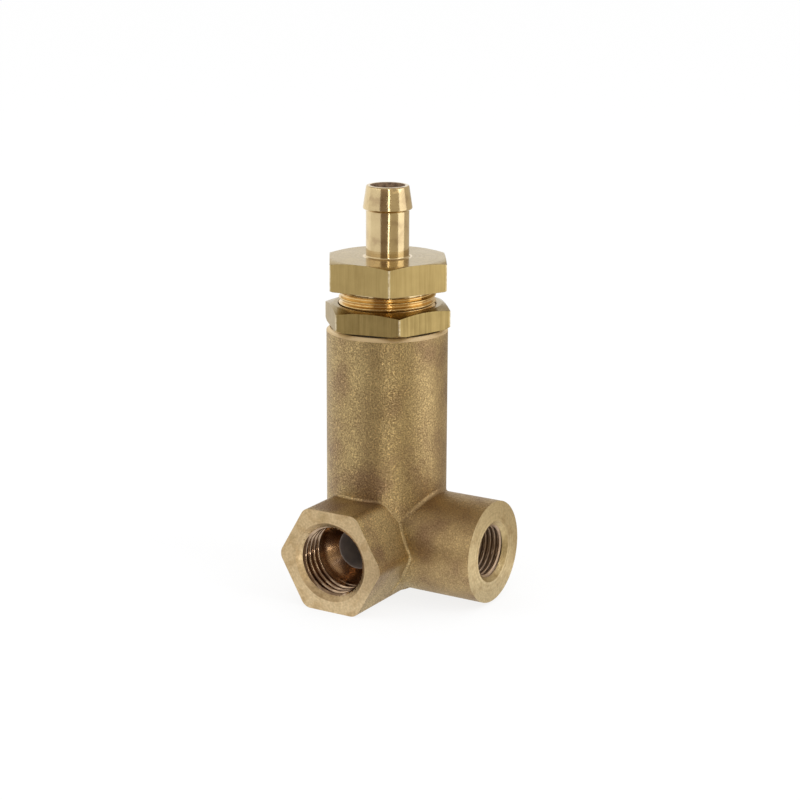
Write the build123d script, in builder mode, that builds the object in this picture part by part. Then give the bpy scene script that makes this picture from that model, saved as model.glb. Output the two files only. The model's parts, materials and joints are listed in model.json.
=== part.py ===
"""Expansion valve of an espresso machine: a spring relief valve in a cast brass body.

Water under pressure comes in at the hexagonal boss and leaves at the round boss. Both meet under a
seat in the tower. A soft-faced poppet is held on that seat by a spring, and the hollow screw above
sets the spring's load and carries what is let past to a hose. A lock nut fixes the screw.

The frame has its origin on the tower's axis in the plane that the body stands on, +Z up the tower,
the inlet towards -Y and the outlet towards +X. All sizes are in millimetres.
"""

import os
from math import hypot, radians, sqrt, tan

from build123d import *

# Screw thread that the tower, the nut and the head follow, modelled at its major diameter
screw_thread_d = 17.0
thread_clearance = 0.05
thread_end_chamfer = 0.8

# Cast body
tower_wall = 2.1
tower_height = 47.05
tower_rim_chamfer = 0.6
inlet_hex_af = 18.0
inlet_hex_corner_r = 2.0
inlet_reach = 18.7
outlet_boss_d = 18.0
outlet_reach = 21.65
outlet_axis_rise = 0.45
base_taper_deg = 60.0
base_margin = 0.2
base_blend_r = 6.0
cast_fillet_r = 0.8

# Port threads, bored to their minor diameters, and the drilled passages behind them
inlet_thread_minor_d = 11.445
inlet_thread_depth = 6.6
inlet_mouth_d = 14.0
inlet_point_deg = 90.0
inlet_passage_d = 7.0
outlet_thread_minor_d = 8.566
outlet_thread_depth = 8.0
outlet_mouth_d = 10.8
outlet_point_deg = 118.0
outlet_passage_d = 5.0

# Seat and spring chamber
floor_web = 6.5
seat_orifice_d = 5.0
seat_lip_width = 0.6
seat_foot_width = 1.8
seat_rise = 1.0
chamber_d = 14.0

# Adjusting screw: a hexagonal head and a hose barb. A chamfer's land is how far outside the flats
# it starts, so a hexagon with a negative land is turned round before its flats begin
tower_mouth_chamfer = 0.5
shank_length = 18.5
shank_end_clearance = 0.5
adjust_gap = 3.0
head_wall = 1.5
head_thickness = 5.15
head_upper_chamfer_deg = 16.0
head_upper_land = 0.0
head_lower_chamfer_deg = 30.0
head_lower_land = 1.3
head_corner_azimuth = 32.7
relief_groove_width = 0.9
relief_groove_depth = 0.7
spring_pocket_d = 12.2
spring_pocket_depth = 10.0
drain_bore_d = 6.0
stem_d = 7.5
stem_length = 8.05
stem_root_r = 0.3
barb_d = 8.6
barb_tip_d = 7.4
barb_length = 4.3
barb_crest_length = 0.35
barb_lip_r = 0.25

# Lock nut, and the sealing ring caught in its underside, which holds the nut a little off the rim
nut_wall = 1.5
nut_thickness = 3.85
nut_upper_chamfer_deg = 18.0
nut_upper_land = -0.6
nut_lower_chamfer_deg = 30.0
nut_lower_land = 0.9
nut_corner_azimuth = 41.5
nut_thread_chamfer = 0.15
seal_ring_width = 0.7
seal_ring_height = 0.9
seal_ring_gap = 0.35
seal_ring_clearance = 0.05

# Upper spring plate
plate_thickness = 1.0
plate_clearance = 0.15
plate_collar_d = 7.6
plate_collar_length = 2.5

# Spring: active turns between one closed and ground turn at each end
spring_od = 11.2
spring_wire_d = 1.5
spring_active_turns = 5

# Poppet with its soft disc
poppet_af = 12.0
poppet_guide_clearance = 0.1
poppet_height = 5.0
poppet_spigot_d = 7.2
poppet_spigot_chamfer = 0.6
poppet_seal_d = 9.4
poppet_seal_thickness = 2.2
poppet_seal_grip = 1.5
poppet_seal_clearance = 0.02

# Travels that the inside leaves room for
adjuster_down_travel = 2.0
poppet_lift = 2.5
lift_stop_clearance = 0.3

# Heights that follow
inlet_axis_z = inlet_hex_af / 2
outlet_axis_z = inlet_axis_z + outlet_axis_rise
chamber_floor_z = outlet_axis_z + outlet_passage_d / 2 + floor_web
seat_z = chamber_floor_z + seat_rise
seal_top_z = seat_z + poppet_seal_thickness
poppet_bottom_z = seal_top_z - poppet_seal_grip
poppet_shoulder_z = poppet_bottom_z + poppet_height
nut_bottom_z = tower_height + seal_ring_gap
nut_top_z = nut_bottom_z + nut_thickness
head_bottom_z = nut_top_z + adjust_gap
head_top_z = head_bottom_z + head_thickness
barb_z = head_top_z + stem_length
tip_z = barb_z + barb_length
shank_bottom_z = head_bottom_z - shank_length
thread_shoulder_z = shank_bottom_z - adjuster_down_travel - shank_end_clearance
plate_top_z = shank_bottom_z + spring_pocket_depth
plate_bottom_z = plate_top_z - plate_thickness
collar_bottom_z = plate_bottom_z - plate_collar_length
spigot_top_z = collar_bottom_z - adjuster_down_travel - poppet_lift - lift_stop_clearance

# Radii that follow
tower_r = screw_thread_d / 2 + tower_wall
head_flat_r = screw_thread_d / 2 + head_wall
nut_flat_r = screw_thread_d / 2 + nut_wall
outlet_boss_r = outlet_boss_d / 2
base_r = inlet_hex_af / sqrt(3) / 2 + base_margin
taper_top_z = (tower_r - base_r) * tan(radians(base_taper_deg))
blend_top_z = taper_top_z + base_blend_r * tan(radians(90 - base_taper_deg) / 2)
female_thread_r = screw_thread_d / 2
male_thread_r = female_thread_r - thread_clearance
seal_ring_r = female_thread_r + seal_ring_width


def drilled_bore(mouth_d, bore_d, depth, point_deg, passage_d, passage_end, cut_past):
    """Half profile, in (radius, depth), of a countersunk bore, its drill point and a passage."""
    sink = (mouth_d - bore_d) / 2
    point = (bore_d - passage_d) / 2 / tan(radians(point_deg / 2))
    return [
        (0, -cut_past),
        (mouth_d / 2 + cut_past, -cut_past),
        (bore_d / 2, sink),
        (bore_d / 2, depth),
        (passage_d / 2, depth + point),
        (passage_d / 2, passage_end),
        (0, passage_end),
    ]


def is_saddle(edge):
    """True for the edge over the top of the outlet boss, where it runs into the tower."""
    near = 0.01
    points = [edge @ 0, edge @ 0.5, edge @ 1]
    on_tower = all(abs(hypot(p.X, p.Y) - tower_r) < near for p in points)
    on_outlet = all(abs(hypot(p.Y, p.Z - outlet_axis_z) - outlet_boss_r) < near for p in points)
    return on_tower and on_outlet and edge.bounding_box().min.Z > blend_top_z - near


# Valve body: tower, hexagonal inlet boss and round outlet boss cast as one, then bored
cut_past = 1.0
bore_end = seat_orifice_d / 2
with BuildPart() as valve_body:
    with BuildSketch(Plane.XZ) as tower_profile:
        with BuildLine():
            Polyline(
                (0, 0),
                (base_r, 0),
                (tower_r, taper_top_z),
                (tower_r, tower_height),
                (0, tower_height),
                close=True,
            )
        make_face()
        fillet(tower_profile.vertices().group_by(Axis.X)[-1].sort_by(Axis.Y)[0], base_blend_r)
    revolve(axis=Axis.Z)
    with BuildSketch(Plane.XZ.offset(inlet_reach)) as inlet_hex:
        with Locations((0, inlet_axis_z)):
            RegularPolygon(inlet_hex_af / 2, 6, major_radius=False)
        fillet(inlet_hex.vertices(), inlet_hex_corner_r)
    extrude(amount=-inlet_reach)
    with BuildSketch(Plane.YZ):
        with Locations((0, outlet_axis_z)):
            Circle(outlet_boss_r)
    extrude(amount=outlet_reach)
    fillet(valve_body.edges().filter_by(is_saddle), cast_fillet_r)
    rim = valve_body.faces().sort_by(Axis.Z)[-1].edges()
    chamfer(rim, tower_rim_chamfer)

    # Spring chamber, raised seat and the hole up to it from the crossing passages
    with BuildSketch(Plane.XZ):
        with BuildLine():
            Polyline(
                (0, inlet_axis_z),
                (seat_orifice_d / 2, inlet_axis_z),
                (seat_orifice_d / 2, seat_z),
                (seat_orifice_d / 2 + seat_lip_width, seat_z),
                (seat_orifice_d / 2 + seat_foot_width, chamber_floor_z),
                (chamber_d / 2, chamber_floor_z),
                (chamber_d / 2, thread_shoulder_z),
                (female_thread_r, thread_shoulder_z),
                (female_thread_r, tower_height - tower_mouth_chamfer),
                (female_thread_r + tower_mouth_chamfer + cut_past, tower_height + cut_past),
                (0, tower_height + cut_past),
                close=True,
            )
        make_face()
    revolve(axis=Axis.Z, mode=Mode.SUBTRACT)

    # Inlet and outlet, each turned about its own port axis and drilled in to the hole under the seat
    inlet_face = Plane(origin=(0, -inlet_reach, inlet_axis_z), x_dir=(1, 0, 0), z_dir=(0, 0, 1))
    with BuildSketch(inlet_face):
        with BuildLine():
            Polyline(
                drilled_bore(
                    inlet_mouth_d,
                    inlet_thread_minor_d,
                    inlet_thread_depth,
                    inlet_point_deg,
                    inlet_passage_d,
                    inlet_reach + bore_end,
                    cut_past,
                ),
                close=True,
            )
        make_face()
    revolve(axis=Axis((0, -inlet_reach, inlet_axis_z), (0, 1, 0)), mode=Mode.SUBTRACT)
    outlet_face = Plane(origin=(outlet_reach, 0, outlet_axis_z), x_dir=(0, 1, 0), z_dir=(0, 0, 1))
    with BuildSketch(outlet_face):
        with BuildLine():
            Polyline(
                drilled_bore(
                    outlet_mouth_d,
                    outlet_thread_minor_d,
                    outlet_thread_depth,
                    outlet_point_deg,
                    outlet_passage_d,
                    outlet_reach + bore_end,
                    cut_past,
                ),
                close=True,
            )
        make_face()
    revolve(axis=Axis((outlet_reach, 0, outlet_axis_z), (-1, 0, 0)), mode=Mode.SUBTRACT)
valve_body.part.label = "valve_body"


def spanner_hex(flat_r, corner_azimuth):
    """A hexagon with one corner turned to the given azimuth, measured from -Y towards +X."""
    RegularPolygon(flat_r, 6, major_radius=False, rotation=corner_azimuth - 90)


def turned_side(flat_r, bottom_z, lower_land, lower_deg, top_z, upper_land, upper_deg):
    """Outer half profile, in (radius, height), that turns chamfers on a hexagon's corners."""
    far_r = flat_r * 2 / sqrt(3) + hex_cut_past
    lower_r = flat_r + lower_land
    upper_r = flat_r + upper_land
    return [
        (lower_r, bottom_z),
        (far_r, bottom_z + (far_r - lower_r) * tan(radians(lower_deg))),
        (far_r, top_z - (far_r - upper_r) * tan(radians(upper_deg))),
        (upper_r, top_z),
    ]


# Adjusting screw: hexagonal head turned at both ends, threaded shank below and hose stem above
hex_cut_past = 0.2
head_side = turned_side(
    head_flat_r,
    head_bottom_z,
    head_lower_land,
    head_lower_chamfer_deg,
    head_top_z,
    head_upper_land,
    head_upper_chamfer_deg,
)
with BuildPart() as drain_adjuster:
    with BuildSketch(Plane.XY.offset(head_bottom_z)):
        spanner_hex(head_flat_r, head_corner_azimuth)
    extrude(amount=head_thickness)
    with BuildSketch(Plane.XZ):
        with BuildLine():
            Polyline((0, head_bottom_z), *head_side, (0, head_top_z), close=True)
        make_face()
    revolve(axis=Axis.Z, mode=Mode.INTERSECT)
    with BuildSketch(Plane.XZ):
        with BuildLine():
            Polyline(
                (0, shank_bottom_z),
                (male_thread_r - thread_end_chamfer, shank_bottom_z),
                (male_thread_r, shank_bottom_z + thread_end_chamfer),
                (male_thread_r, head_bottom_z - relief_groove_width),
                (male_thread_r - relief_groove_depth, head_bottom_z - relief_groove_width),
                (male_thread_r - relief_groove_depth, head_bottom_z),
                (0, head_bottom_z),
                close=True,
            )
        make_face()
    revolve(axis=Axis.Z)
    with BuildSketch(Plane.XZ) as stem_profile:
        with BuildLine():
            Polyline(
                (0, head_top_z),
                (stem_d / 2, head_top_z),
                (stem_d / 2, barb_z),
                (barb_d / 2, barb_z + barb_crest_length),
                (barb_tip_d / 2, tip_z),
                (0, tip_z),
                close=True,
            )
        make_face()
        fillet(stem_profile.vertices().group_by(Axis.Y)[-1].sort_by(Axis.X)[-1], barb_lip_r)
        fillet(stem_profile.vertices().sort_by(Axis.X)[-1], barb_lip_r)
    revolve(axis=Axis.Z)
    stem_root = drain_adjuster.edges().filter_by(GeomType.CIRCLE).filter_by_position(
        Axis.Z, head_top_z - 0.01, head_top_z + 0.01
    )
    fillet(stem_root.sort_by(SortBy.RADIUS)[0], stem_root_r)
    with BuildSketch(Plane.XY.offset(shank_bottom_z)):
        Circle(spring_pocket_d / 2)
    extrude(amount=spring_pocket_depth, mode=Mode.SUBTRACT)
    with BuildSketch(Plane.XY.offset(shank_bottom_z)):
        Circle(drain_bore_d / 2)
    extrude(amount=tip_z - shank_bottom_z, mode=Mode.SUBTRACT)
drain_adjuster.part.label = "drain_adjuster"

# Lock nut: chamfered on both faces, bored to the thread, with a groove for the sealing ring below
nut_side = turned_side(
    nut_flat_r,
    nut_bottom_z,
    nut_lower_land,
    nut_lower_chamfer_deg,
    nut_top_z,
    nut_upper_land,
    nut_upper_chamfer_deg,
)
with BuildPart() as lock_nut:
    with BuildSketch(Plane.XY.offset(nut_bottom_z)):
        spanner_hex(nut_flat_r, nut_corner_azimuth)
    extrude(amount=nut_thickness)
    with BuildSketch(Plane.XZ):
        with BuildLine():
            Polyline(
                (female_thread_r + nut_thread_chamfer, nut_top_z),
                (female_thread_r, nut_top_z - nut_thread_chamfer),
                (female_thread_r, tower_height + seal_ring_height),
                (seal_ring_r + seal_ring_clearance, tower_height + seal_ring_height),
                (seal_ring_r + seal_ring_clearance, nut_bottom_z),
                *nut_side,
                close=True,
            )
        make_face()
    revolve(axis=Axis.Z, mode=Mode.INTERSECT)
lock_nut.part.label = "lock_nut"

# Sealing ring in the nut's underside, pressed on the tower's rim
with BuildPart() as lock_nut_seal:
    with BuildSketch(Plane.XY.offset(tower_height)):
        Circle(seal_ring_r)
        Circle(female_thread_r, mode=Mode.SUBTRACT)
    extrude(amount=seal_ring_height)
lock_nut_seal.part.label = "lock_nut_seal"

# Upper spring plate: a washer with a collar that centres the spring, seated in the screw's pocket
with BuildPart() as spring_plate:
    with BuildSketch(Plane.XZ):
        with BuildLine():
            Polyline(
                (drain_bore_d / 2, plate_top_z),
                (spring_pocket_d / 2 - plate_clearance, plate_top_z),
                (spring_pocket_d / 2 - plate_clearance, plate_bottom_z),
                (plate_collar_d / 2, plate_bottom_z),
                (plate_collar_d / 2, collar_bottom_z),
                (drain_bore_d / 2, collar_bottom_z),
                close=True,
            )
        make_face()
    revolve(axis=Axis.Z)
spring_plate.part.label = "spring_plate"

# Spring: one helix with closed turns at both ends, ground flat against the poppet and the plate
coil_r = (spring_od - spring_wire_d) / 2
ground_depth = spring_wire_d / 4
coil_bottom_z = poppet_shoulder_z + ground_depth
coil_top_z = plate_bottom_z - ground_depth
active_height = coil_top_z - coil_bottom_z - 2 * spring_wire_d
with BuildPart() as relief_spring:
    with BuildLine() as coil:
        Helix(spring_wire_d, spring_wire_d, coil_r, center=(0, 0, coil_bottom_z))
        Helix(
            active_height / spring_active_turns,
            active_height,
            coil_r,
            center=(0, 0, coil_bottom_z + spring_wire_d),
        )
        Helix(spring_wire_d, spring_wire_d, coil_r, center=(0, 0, coil_top_z - spring_wire_d))
    with BuildSketch(Plane(origin=coil.wire() @ 0, z_dir=coil.wire() % 0)):
        Circle(spring_wire_d / 2)
    sweep(path=coil.wire(), is_frenet=True)
    split(bisect_by=Plane.XY.offset(poppet_shoulder_z), keep=Keep.TOP)
    split(bisect_by=Plane.XY.offset(plate_bottom_z), keep=Keep.BOTTOM)
relief_spring.part.label = "relief_spring"

# Poppet: a hexagonal bar whose turned corners run in the chamber, so that water passes its flats
poppet_guide_r = chamber_d / 2 - poppet_guide_clearance
with BuildPart() as poppet:
    with BuildSketch(Plane.XY.offset(poppet_bottom_z)):
        RegularPolygon(poppet_af / 2, 6, major_radius=False)
        Circle(poppet_guide_r, mode=Mode.INTERSECT)
    extrude(amount=poppet_height)
    with BuildSketch(Plane.XY.offset(poppet_shoulder_z)):
        Circle(poppet_spigot_d / 2)
    extrude(amount=spigot_top_z - poppet_shoulder_z)
    chamfer(poppet.faces().sort_by(Axis.Z)[-1].edges(), poppet_spigot_chamfer)
    with BuildSketch(Plane.XY.offset(poppet_bottom_z)):
        Circle(poppet_seal_d / 2)
    extrude(amount=poppet_seal_grip, mode=Mode.SUBTRACT)
poppet.part.label = "poppet"

# Soft disc pressed into the poppet, closing on the seat's lip
with BuildPart() as poppet_seal:
    with BuildSketch(Plane.XY.offset(seat_z)):
        Circle(poppet_seal_d / 2 - poppet_seal_clearance)
    extrude(amount=poppet_seal_thickness)
poppet_seal.part.label = "poppet_seal"

os.makedirs("parts", exist_ok=True)
export_step(valve_body.part, "parts/valve_body.step")
export_step(drain_adjuster.part, "parts/drain_adjuster.step")
export_step(lock_nut.part, "parts/lock_nut.step")
export_step(lock_nut_seal.part, "parts/lock_nut_seal.step")
export_step(spring_plate.part, "parts/spring_plate.step")
export_step(relief_spring.part, "parts/relief_spring.step")
export_step(poppet.part, "parts/poppet.step")
export_step(poppet_seal.part, "parts/poppet_seal.step")
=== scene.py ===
# %% [markdown]
# # A brass expansion valve for an espresso machine
#
# The shapes of this valve come from CAD and stay as they are. What is left for Blender is what the drawing
# doesn't show: screw threads, the grain of a sand casting, the marks of a lathe, and the light of a small
# photo studio. Lengths are in metres, and `MM` turns a millimetre into one.

# %% Load the frame
import json
from math import cos, pi, radians, sin, sqrt

import bpy
from mathutils import Matrix, Vector


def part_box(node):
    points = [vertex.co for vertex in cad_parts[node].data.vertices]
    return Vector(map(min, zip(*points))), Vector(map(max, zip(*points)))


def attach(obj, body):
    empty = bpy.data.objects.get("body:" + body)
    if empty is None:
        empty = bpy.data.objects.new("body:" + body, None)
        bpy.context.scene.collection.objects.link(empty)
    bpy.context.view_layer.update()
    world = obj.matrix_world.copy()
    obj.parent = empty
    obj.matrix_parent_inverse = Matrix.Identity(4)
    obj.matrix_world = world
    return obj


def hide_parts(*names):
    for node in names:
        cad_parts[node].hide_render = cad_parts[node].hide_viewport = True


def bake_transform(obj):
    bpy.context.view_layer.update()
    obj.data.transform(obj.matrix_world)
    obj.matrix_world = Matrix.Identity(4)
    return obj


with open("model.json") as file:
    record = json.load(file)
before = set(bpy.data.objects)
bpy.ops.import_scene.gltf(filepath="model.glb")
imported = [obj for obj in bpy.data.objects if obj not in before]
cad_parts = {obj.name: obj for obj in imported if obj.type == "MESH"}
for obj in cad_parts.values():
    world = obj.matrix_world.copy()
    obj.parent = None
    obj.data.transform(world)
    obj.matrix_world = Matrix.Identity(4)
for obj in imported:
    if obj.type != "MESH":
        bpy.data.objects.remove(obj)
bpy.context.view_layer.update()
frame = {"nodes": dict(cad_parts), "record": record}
nodes = frame["nodes"]
MM = 0.001
print("nodes:", sorted(nodes))

# %% [markdown]
# ## Working on copies
#
# Operators act on whatever is selected, and the import leaves every node selected. So each step starts from
# an empty selection. A CAD node itself is never edited: `take_copy` gives its mesh to a new object and merges
# the loose triangles. Merging spoils the normals that came from CAD, so `smooth_again` makes new ones: edges
# sharper than 20 degrees stay sharp, and large faces count more than slivers, which keeps flats flat and
# cylinders free of stripes.

# %% Copy helpers
same_place = 0.0001 * MM
sharp_from = radians(20)


def select_only(piece):
    if bpy.context.object and bpy.context.object.mode != "OBJECT":
        bpy.ops.object.mode_set(mode="OBJECT")
    bpy.ops.object.select_all(action="DESELECT")
    piece.select_set(True)
    bpy.context.view_layer.objects.active = piece


def take_copy(node_name, piece_name):
    piece = bpy.data.objects.new(piece_name, nodes[node_name].data.copy())
    bpy.context.scene.collection.objects.link(piece)
    select_only(piece)
    bpy.ops.object.mode_set(mode="EDIT")
    bpy.ops.mesh.select_all(action="SELECT")
    bpy.ops.mesh.remove_doubles(threshold=same_place)
    bpy.ops.object.mode_set(mode="OBJECT")
    print(piece_name, "has", len(piece.data.vertices), "points after merging")
    return piece


def smooth_again(piece):
    select_only(piece)
    bpy.ops.mesh.customdata_custom_splitnormals_clear()
    bpy.ops.object.shade_smooth_by_angle(angle=sharp_from)
    weigh = piece.modifiers.new("Weighted normals", "WEIGHTED_NORMAL")
    weigh.keep_sharp = True
    bpy.ops.object.modifier_apply(modifier=weigh.name)


def edit_points(piece, test):
    """Goes to edit mode with only those points selected whose place passes the test."""
    select_only(piece)
    bpy.context.tool_settings.mesh_select_mode = (True, False, False)
    piece.data.polygons.foreach_set("select", [False] * len(piece.data.polygons))
    piece.data.edges.foreach_set("select", [False] * len(piece.data.edges))
    chosen = [test(point.co) for point in piece.data.vertices]
    piece.data.vertices.foreach_set("select", chosen)
    bpy.ops.object.mode_set(mode="EDIT")
    return sum(chosen)


# %% [markdown]
# ## Sizes that the looks share with the CAD
#
# Threads and finishes need the ports' axes and a few heights. The record's mounts and the nodes' boxes give
# them, so they follow the CAD when it changes. Only the gap under the head and the head's thickness are
# written again here, because no box ends there.

# %% Axes and heights
mounts = {mount["name"]: mount for mount in frame["record"]["mounts"]}
inlet_z = mounts["inlet_port"]["pos_m"][2]
outlet_z = mounts["outlet_port"]["pos_m"][2]
inlet_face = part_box("valve_body")[0].y
outlet_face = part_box("valve_body")[1].x
tower_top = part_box("valve_body")[1].z
nut_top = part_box("lock_nut")[1].z
shank_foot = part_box("drain_adjuster")[0].z
adjust_gap, head_thickness = 3.0 * MM, 5.15 * MM
head_foot = nut_top + adjust_gap
head_top = head_foot + head_thickness
print("port axes at", round(inlet_z / MM, 2), "and", round(outlet_z / MM, 2), "mm")

# %% [markdown]
# ## Threads
#
# A thread is one tooth's outline carried round an axis while it climbs by a pitch. It could be a bump in the
# material, but each crest catches the light by itself and shows at the outline, so it is modelled. The Screw
# modifier does just that carrying. The outline is a chain of points exactly one pitch long, so each turn
# joins the next, and a bisect trims the ragged ends square. Crests and roots are rounded by a soft step.

# %% Tooth outline
root_flat = crest_flat = 0.12


def tooth(root_r, crest_r, pitch, start, points=14):
    """Points of (radius, height) over one pitch, from the middle of one root to the next."""
    outline = []
    for i in range(points + 1):
        share = i / points
        slope = (1 - root_flat - abs(2 * share - 1)) / (1 - root_flat - crest_flat)
        slope = min(1, max(0, slope))
        rise = 0.5 * slope + 0.5 * slope * slope * (3 - 2 * slope)
        outline.append((root_r + (crest_r - root_r) * rise, start + share * pitch))
    return outline


# %% Thread maker
turn_gap = 0.001 * MM
steps_per_turn = 72


def start_point(name):
    """A new object of one point at the origin, left in edit mode with that point selected."""
    bpy.ops.object.select_all(action="DESELECT")
    bpy.ops.mesh.primitive_plane_add(size=MM)
    piece = bpy.context.object
    piece.name = name
    bpy.ops.object.mode_set(mode="EDIT")
    bpy.ops.mesh.merge(type="CENTER")
    return piece


def thread_sleeve(name, axis, outline, pitch, turns, cuts, place):
    """Spins a tooth outline of (radius, height) points into a sleeve, and cuts it at two heights."""
    outward = {"X": Vector((0, 1, 0)), "Y": Vector((0, 0, 1)), "Z": Vector((1, 0, 0))}[axis]
    along = {"X": Vector((1, 0, 0)), "Y": Vector((0, 1, 0)), "Z": Vector((0, 0, 1))}[axis]
    piece = start_point(name)
    spots = [outward * radius + along * height for radius, height in outline]
    bpy.ops.transform.translate(value=spots[0])
    for before, after in zip(spots, spots[1:]):
        bpy.ops.mesh.extrude_region_move(TRANSFORM_OT_translate={"value": after - before})
    bpy.ops.object.mode_set(mode="OBJECT")
    spin = piece.modifiers.new("Thread", "SCREW")
    spin.axis = axis
    spin.screw_offset = pitch
    spin.iterations = turns
    spin.steps = spin.render_steps = steps_per_turn
    bpy.ops.object.modifier_apply(modifier=spin.name)
    bpy.ops.object.mode_set(mode="EDIT")
    bpy.ops.mesh.select_all(action="SELECT")
    bpy.ops.mesh.remove_doubles(threshold=turn_gap)
    for height, side in zip(cuts, (-1, 1)):
        bpy.ops.mesh.select_all(action="SELECT")
        bpy.ops.mesh.bisect(plane_co=along * height, plane_no=along * side, clear_outer=True)
    bpy.ops.object.mode_set(mode="OBJECT")
    piece.location = place
    bpy.ops.object.transform_apply(location=True, rotation=True, scale=True)
    bpy.ops.object.shade_smooth()
    print(name, "has", len(piece.data.polygons), "faces")
    return piece


# %% Face direction
def flip_faces(piece):
    select_only(piece)
    bpy.ops.object.mode_set(mode="EDIT")
    bpy.ops.mesh.select_all(action="SELECT")
    bpy.ops.mesh.flip_normals()
    bpy.ops.object.mode_set(mode="OBJECT")


def face_axis(piece, axis_point, towards_axis):
    """Turns the sleeve's faces inward for a bore or outward for a screw."""
    face = piece.data.polygons[len(piece.data.polygons) // 2]
    inward = axis_point(face.center) - face.center
    if (face.normal.dot(inward) > 0) != towards_axis:
        flip_faces(piece)


# %% [markdown]
# The adjusting screw's thread shows between nut and head. Its sleeve runs from just above the shank's foot to
# the groove under the head, so that there is thread in the nut and in the tower at every height of the screw.
# A few spare turns are cut off again.

# %% Thread of the adjusting screw
screw_pitch, screw_crest, screw_root = 1.0 * MM, 8.45 * MM, 7.9 * MM
foot_chamfer, bare_thread, spare_turns = 0.5 * MM, 2.1 * MM, 3
screw_cuts = (shank_foot + foot_chamfer, nut_top + bare_thread)
screw_turns = int((screw_cuts[1] - screw_cuts[0]) / screw_pitch) + spare_turns
screw_tooth = tooth(screw_root, screw_crest, screw_pitch, screw_cuts[0] - screw_pitch)
screw_thread = thread_sleeve("screw_thread", "Z", screw_tooth, screw_pitch, screw_turns, screw_cuts,
                             (0, 0, 0))
face_axis(screw_thread, lambda p: Vector((0, 0, p.z)), False)

# %% [markdown]
# The two ports have pipe threads, coarse at the inlet and fine at the outlet. They are the same kind of
# sleeve, seen from inside, so the crest is the smaller radius. The record gives that radius. The outline
# starts before the cut, because a thread's first turn is ragged.

# %% Threads of the two ports
inlet_pitch, inlet_root, inlet_mouth, inlet_depth = 1.337 * MM, 6.5785 * MM, 7.0 * MM, 6.6 * MM
inlet_crest = mounts["inlet_port"]["dims"]["r_mm"] * MM
inlet_start, inlet_turns = inlet_face - 1.5 * MM, 8
inlet_cuts = (inlet_face + 0.2 * MM, inlet_face + inlet_depth)
outlet_pitch, outlet_root, outlet_mouth, outlet_depth = 0.907 * MM, 4.864 * MM, 5.4 * MM, 8.0 * MM
outlet_crest = mounts["outlet_port"]["dims"]["r_mm"] * MM
outlet_start, outlet_turns = outlet_face - 8.9 * MM, 12
outlet_cuts = (outlet_face - outlet_depth, outlet_face - 0.35 * MM)


def inlet_axis(p):
    return Vector((0, p.y, inlet_z))


def outlet_axis(p):
    return Vector((p.x, 0, outlet_z))


inlet_tooth = tooth(inlet_root, inlet_crest, inlet_pitch, inlet_start)
inlet_thread = thread_sleeve("inlet_thread", "Y", inlet_tooth, inlet_pitch, inlet_turns, inlet_cuts,
                             (0, 0, inlet_z))
face_axis(inlet_thread, inlet_axis, True)
outlet_tooth = tooth(outlet_root, outlet_crest, outlet_pitch, outlet_start)
outlet_thread = thread_sleeve("outlet_thread", "X", outlet_tooth, outlet_pitch, outlet_turns, outlet_cuts,
                              (0, 0, outlet_z))
face_axis(outlet_thread, outlet_axis, True)

# %% [markdown]
# A countersink of 45 degrees at each mouth cuts the first crests back. A boolean could cut them, but it can
# leave slivers. Here every thread point that stands inside that cone moves out onto it. The outermost points
# go a hair behind it, so that the sleeve's rim is buried in the casting.

# %% Countersinks on the port threads
buried, rim_depth = 0.03 * MM, 0.55 * MM


def trim_to_cone(piece, depth_of, axis_of, mouth_r):
    moved = 0
    for point in piece.data.vertices:
        axis_point = axis_of(point.co)
        depth = depth_of(point.co)
        off_axis = point.co - axis_point
        limit = mouth_r - depth + (buried if depth < rim_depth else 0)
        if off_axis.length < limit:
            point.co = axis_point + off_axis.normalized() * limit
            moved += 1
    print(piece.name, "has", moved, "points on its countersink")


trim_to_cone(inlet_thread, lambda p: p.y - inlet_face, inlet_axis, inlet_mouth)
trim_to_cone(outlet_thread, lambda p: outlet_face - p.x, outlet_axis, outlet_mouth)

# %% [markdown]
# ## Body casting
#
# The CAD bores the ports to the threads' inner diameter, and the sleeves need more room. A boolean could cut
# it, but scaling keeps the faces that are there. So in a copy of the body the bores' walls are scaled out to
# just past the threads' outer diameter, and the sleeves lie in them. A tap leaves its last turns shallow: the
# inlet's wall is cut by a bisect 1.4 mm before its end and only the front part is scaled, so the wall rises
# out of the thread there.

# %% Open the bores
casting = take_copy("valve_body", "body_casting")
wall_gap, inlet_runout, past_end = 0.05 * MM, 1.4 * MM, 0.1 * MM
inlet_open, outlet_open = inlet_root + wall_gap, outlet_root + wall_gap
inlet_full = inlet_face + inlet_depth - inlet_runout


def near(value, target, slack=0.02 * MM):
    return abs(value - target) < slack


def off_inlet(p):
    return sqrt(p.x ** 2 + (p.z - inlet_z) ** 2)


def off_outlet(p):
    return sqrt(p.y ** 2 + (p.z - outlet_z) ** 2)


def inlet_wall(end):
    return lambda p: near(off_inlet(p), inlet_crest) and p.y < end + past_end


def outlet_wall(p):
    return near(off_outlet(p), outlet_crest) and p.x > outlet_face - outlet_depth - past_end


edit_points(casting, inlet_wall(inlet_face + inlet_depth))
bpy.ops.mesh.bisect(plane_co=(0, inlet_full, 0), plane_no=(0, 1, 0))
found = edit_points(casting, inlet_wall(inlet_full))
grow = inlet_open / inlet_crest
bpy.ops.transform.resize(value=(grow, 1, grow), center_override=(0, inlet_face, inlet_z))
found += edit_points(casting, outlet_wall)
grow = outlet_open / outlet_crest
bpy.ops.transform.resize(value=(1, grow, grow), center_override=(outlet_face, 0, outlet_z))
print("bore wall points:", found)

# %% [markdown]
# Scaling a wall takes the foot of its countersink along, and the cone would get another angle. So the ring at
# that foot slides forward along the cone by as much as the wall moved out.

# %% Slide the countersinks' feet forward
inlet_sink, outlet_sink = inlet_mouth - inlet_crest, outlet_mouth - outlet_crest


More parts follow.
